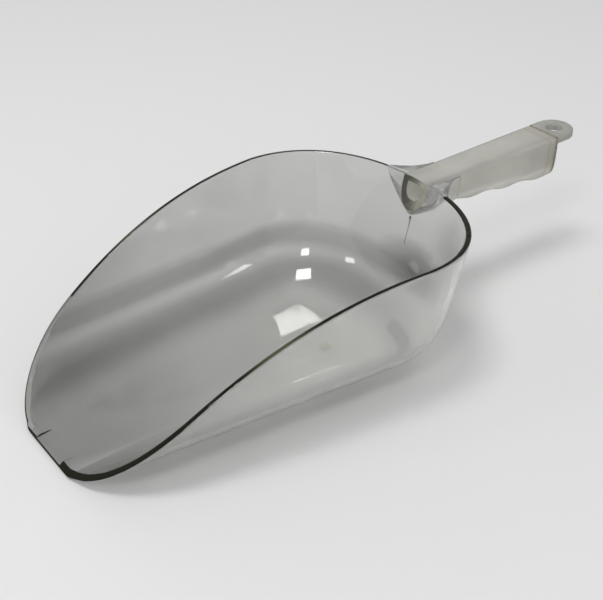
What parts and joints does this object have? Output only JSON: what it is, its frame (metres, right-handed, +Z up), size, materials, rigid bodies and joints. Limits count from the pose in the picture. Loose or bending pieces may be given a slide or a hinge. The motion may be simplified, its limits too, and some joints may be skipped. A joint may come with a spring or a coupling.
{
  "type": "feed scoop",
  "caption": "Clear moulded scoop with a deep rounded bowl, a short straight scraping lip and a frosted hollow handle that ends in a hanging eye.",
  "frame": {"origin": "middle of the scoop's footprint, on the surface that it stands on", "axes": "+X from the scraping lip along the bowl to the hanging eye, +Y across the bowl, +Z up out of the bowl"},
  "size_m": [0.3489, 0.152, 0.0803],
  "materials": {
    "clear_plastic": "glossy, see-through, faint smoke grey",
    "frosted_plastic": "satin frosted, milky, translucent"
  },
  "bodies": {
    "root": {"bowl": "clear_plastic", "handle_socket": "clear_plastic", "grip": "frosted_plastic", "end_plug": "frosted_plastic"}
  },
  "joints": []
}
